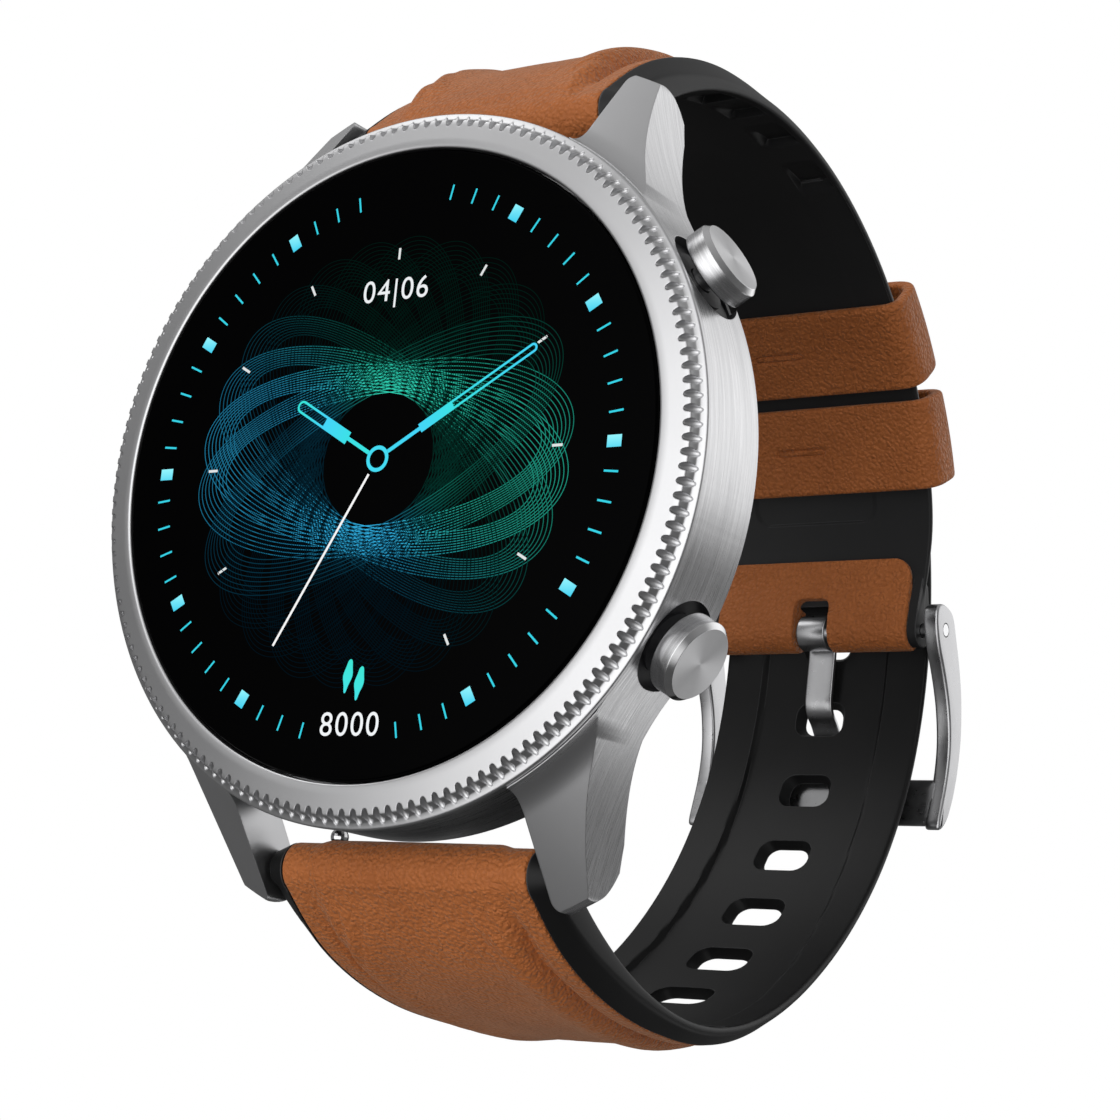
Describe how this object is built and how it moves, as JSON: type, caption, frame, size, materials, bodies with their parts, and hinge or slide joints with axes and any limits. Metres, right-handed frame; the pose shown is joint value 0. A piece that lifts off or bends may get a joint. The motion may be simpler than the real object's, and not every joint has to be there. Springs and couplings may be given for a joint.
{
  "type": "smartwatch",
  "caption": "Round smartwatch with a slotted steel bezel, side buttons and a leather-faced silicone strap closed by a pin buckle, in its wearing loop.",
  "frame": {"origin": "centre of the cover glass's front face", "axes": "the dial faces -Y, 12 o'clock is +Z and 3 o'clock is +X; the strap loop closes behind the case at +Y"},
  "size_m": [0.0458, 0.0625, 0.0672],
  "materials": {
    "steel": "satin, brushed round the flank",
    "polished_steel": "polished",
    "glass": "gloss, opaque black behind, lit watch face on the front",
    "plastic": "matte",
    "board": "solder mask",
    "foil": "plain",
    "gold": "gold plated",
    "rubber": "soft sheen silicone",
    "leather": "fine pebbled grain"
  },
  "bodies": {
    "case": {"case_body": "steel", "bezel_ring": "steel", "cover_glass": "glass", "glass_gasket": "rubber", "display_panel": "plastic", "display_flex": "gold", "inner_chassis": "plastic", "main_board": "board", "processor_shield": "foil", "battery": "foil", "speaker": "plastic", "motor_housing": "foil", "sensor_board": "board", "sensor_window": "glass", "back_cover": "plastic", "back_gasket": "rubber", "back_screw_1": "steel", "back_screw_2": "steel", "back_screw_3": "steel", "back_screw_4": "steel", "charge_contact_left": "gold", "charge_contact_right": "gold", "upper_button_bushing": "polished_steel", "lower_button_bushing": "polished_steel", "upper_button_switch": "plastic", "lower_button_switch": "plastic"},
    "vibration_rotor": {"vibration_rotor": "polished_steel"},
    "upper_button": {"upper_button": "polished_steel", "upper_button_oring": "rubber", "upper_button_clip": "polished_steel"},
    "lower_button": {"lower_button": "polished_steel", "lower_button_oring": "rubber", "lower_button_clip": "polished_steel"},
    "upper_strap": {"upper_strap_base": "rubber", "upper_strap_leather": "leather", "buckle_end_leather": "leather", "fixed_keeper": "leather", "upper_bar_tube": "polished_steel", "upper_bar_fixed_pin": "polished_steel"},
    "upper_release": {"upper_release_pin": "polished_steel", "upper_bar_spring": "steel"},
    "sliding_keeper": {"sliding_keeper": "leather"},
    "buckle": {"buckle_frame": "polished_steel", "buckle_bar": "polished_steel"},
    "tongue": {"buckle_tongue": "polished_steel"},
    "lower_strap": {"lower_strap_base": "rubber", "lower_strap_leather": "leather", "lower_bar_tube": "polished_steel", "lower_bar_fixed_pin": "polished_steel"},
    "lower_release": {"lower_release_pin": "polished_steel", "lower_bar_spring": "steel"}
  },
  "joints": [
    {"name": "motor_spin", "type": "hinge", "parent": "case", "child": "vibration_rotor", "pos_m": [0, 0.006, -0.0124], "axis": [1, 0, 0], "continuous": true},
    {"name": "upper_button_press", "type": "slide", "parent": "case", "child": "upper_button", "axis": [-0.866, 0, -0.5], "range_m": [0, 0.0006], "stiffness_N_per_m": 60},
    {"name": "lower_button_press", "type": "slide", "parent": "case", "child": "lower_button", "axis": [-0.866, 0, 0.5], "range_m": [0, 0.0006], "stiffness_N_per_m": 60},
    {"name": "upper_strap_pivot", "type": "hinge", "parent": "case", "child": "upper_strap", "pos_m": [0, 0.00823, 0.02455], "axis": [1, 0, 0], "range_deg": [0, 75]},
    {"name": "lower_strap_pivot", "type": "hinge", "parent": "case", "child": "lower_strap", "pos_m": [0, 0.00823, -0.02455], "axis": [-1, 0, 0], "range_deg": [0, 75], "deforming": ["lower_strap_base"]},
    {"name": "upper_release_slide", "type": "slide", "parent": "upper_strap", "child": "upper_release", "axis": [1, 0, 0], "range_m": [0, 0.0013], "stiffness_N_per_m": 60, "deforming": ["upper_bar_spring"]},
    {"name": "lower_release_slide", "type": "slide", "parent": "lower_strap", "child": "lower_release", "axis": [1, 0, 0], "range_m": [0, 0.0013], "stiffness_N_per_m": 60, "deforming": ["lower_bar_spring"]},
    {"name": "keeper_slide", "type": "hinge", "parent": "upper_strap", "child": "sliding_keeper", "pos_m": [0, 0.027, 0], "axis": [1, 0, 0], "range_deg": [-1.5, 6]},
    {"name": "buckle_hinge", "type": "hinge", "parent": "upper_strap", "child": "buckle", "pos_m": [0, 0.05849, 0.00091], "axis": [1, 0, 0], "range_deg": [0, 70]},
    {"name": "tongue_hinge", "type": "hinge", "parent": "buckle", "child": "tongue", "pos_m": [0, 0.05849, 0.00091], "axis": [1, 0, 0], "range_deg": [0, 50]}
  ]
}
